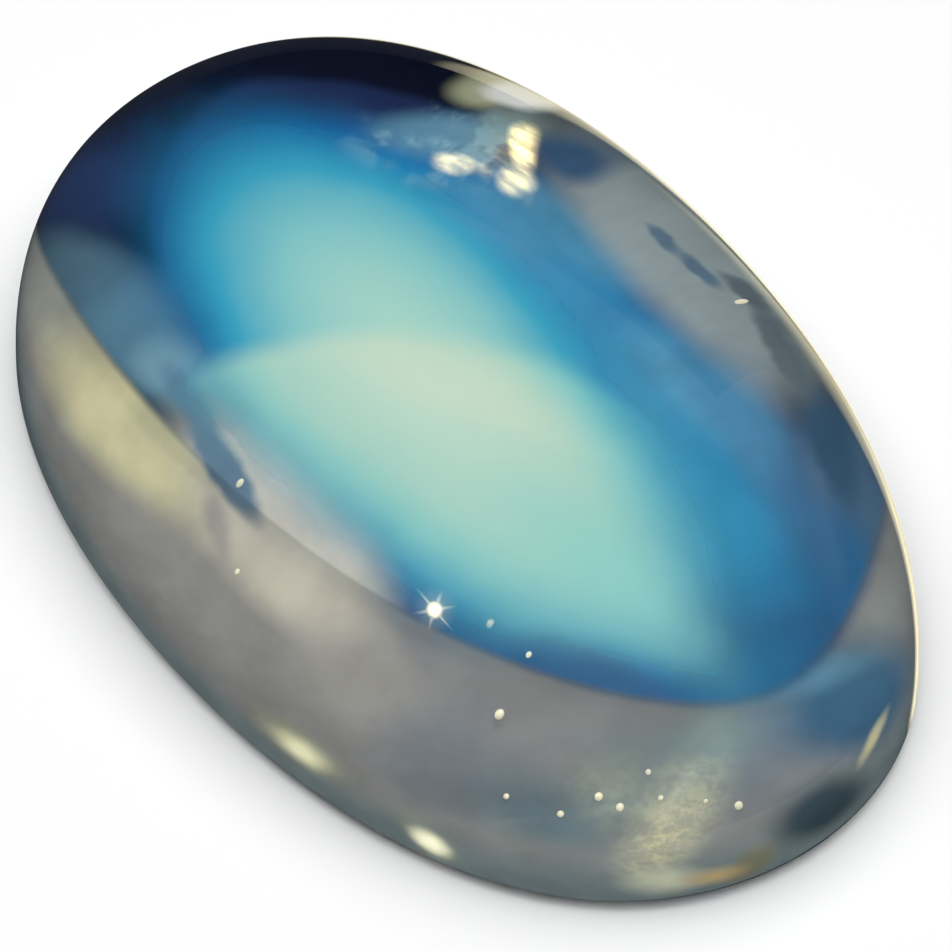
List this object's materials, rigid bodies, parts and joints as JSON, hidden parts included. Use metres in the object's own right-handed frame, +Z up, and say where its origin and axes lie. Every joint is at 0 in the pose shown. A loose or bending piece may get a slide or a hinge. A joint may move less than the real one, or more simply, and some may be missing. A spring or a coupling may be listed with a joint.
{
  "type": "moonstone cabochon",
  "caption": "Polished oval moonstone cabochon: a high clear dome on a flat base, with a blue to cream glow floating inside.",
  "frame": {"origin": "middle of the flat base", "axes": "+X along the stone's length, +Y across it, +Z up from the flat base to the top of the dome"},
  "size_m": [0.0156, 0.01, 0.005],
  "materials": {
    "moonstone": "polished"
  },
  "bodies": {
    "root": {"moonstone": "moonstone"}
  },
  "joints": []
}
